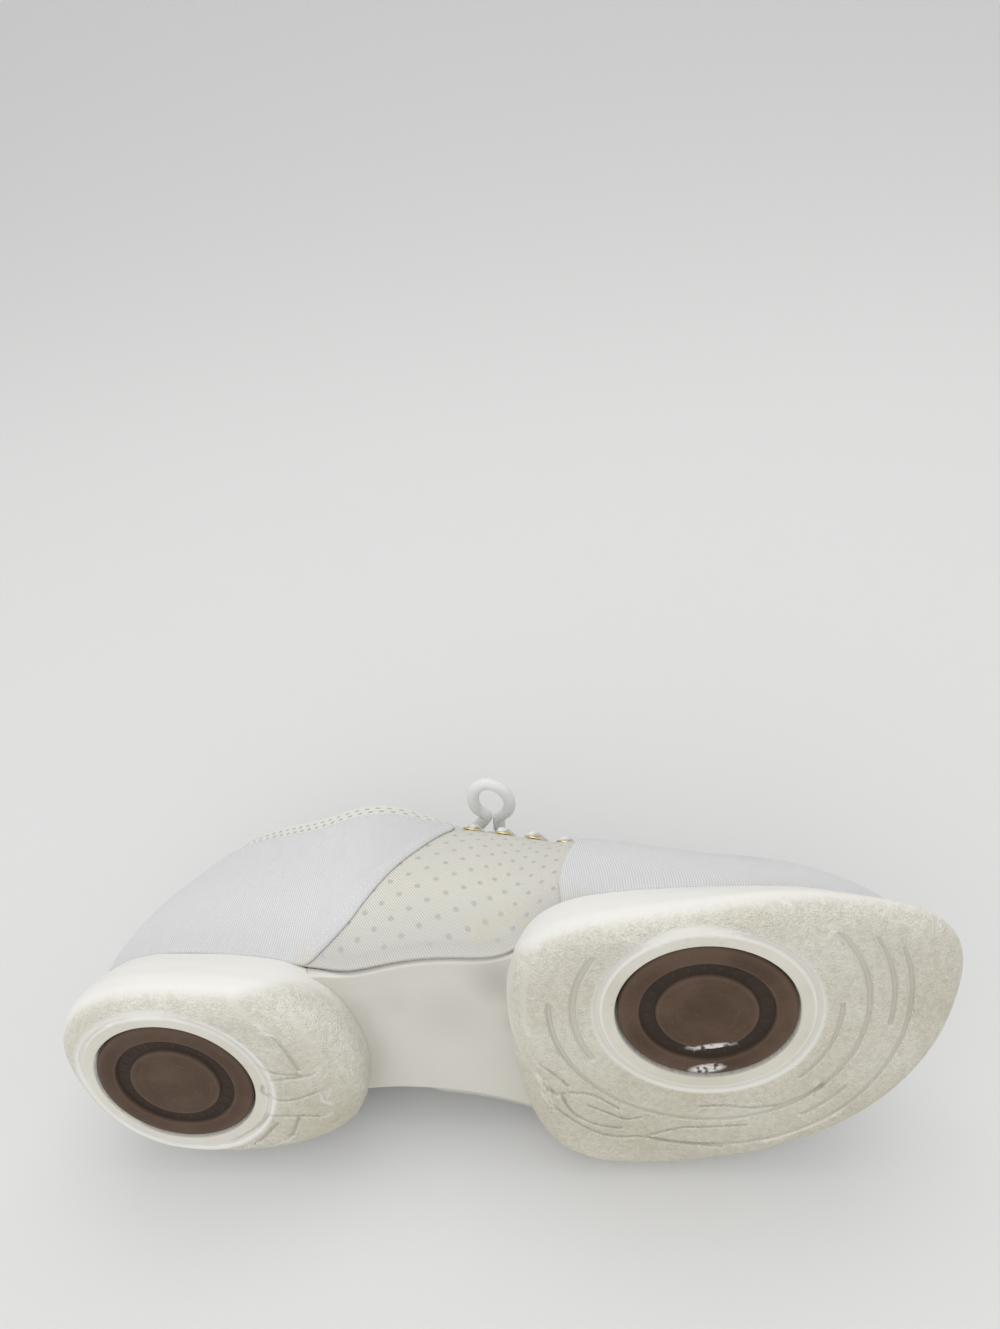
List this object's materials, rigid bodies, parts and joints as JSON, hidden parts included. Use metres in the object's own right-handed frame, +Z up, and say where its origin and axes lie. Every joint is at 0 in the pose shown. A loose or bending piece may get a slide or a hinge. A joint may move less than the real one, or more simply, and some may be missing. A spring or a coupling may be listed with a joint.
{
  "type": "dance sneaker",
  "caption": "Low lace-up dance sneaker, left foot, lying on its side, with a split sole, a pivot disc under heel and ball, and a hollow canvas and mesh upper.",
  "frame": {"origin": "on the floor, at the middle of the footprint of the shoe lying on its lateral side, laces left out", "axes": "+X from heel to toe, +Y from the sole towards the collar, +Z up from the floor, out of the shoe's medial side"},
  "size_m": [0.284, 0.1184, 0.1105],
  "materials": {
    "foam": "cream moulded foam rubber, matte",
    "rubber": "cream rubber, satin",
    "disc": "dark brown hard plastic, matte",
    "mesh": "cream perforated cloth",
    "canvas": "cool white canvas",
    "lining": "white lining cloth",
    "lace": "white cotton lace",
    "gold": "pale gold metal"
  },
  "bodies": {
    "root": {"aglet_back": "gold", "aglet_front": "gold", "arch_plate": "rubber", "eyelet_lateral_1": "gold", "eyelet_lateral_2": "gold", "eyelet_lateral_3": "gold", "eyelet_lateral_4": "gold", "eyelet_lateral_5": "gold", "eyelet_medial_1": "gold", "eyelet_medial_2": "gold", "eyelet_medial_3": "gold", "eyelet_medial_4": "gold", "eyelet_medial_5": "gold", "forefoot_sole": "foam", "heel_panel": "canvas", "heel_sole": "foam", "insole": "lining", "lace_crossings": "lace", "lace_end_back": "lace", "lace_end_front": "lace", "lace_knot": "lace", "lace_loop_lateral": "lace", "lace_loop_medial": "lace", "pivot_disc_forefoot": "disc", "pivot_disc_heel": "disc", "toe_panel": "canvas", "tongue": "mesh", "upper": "mesh"}
  },
  "joints": []
}
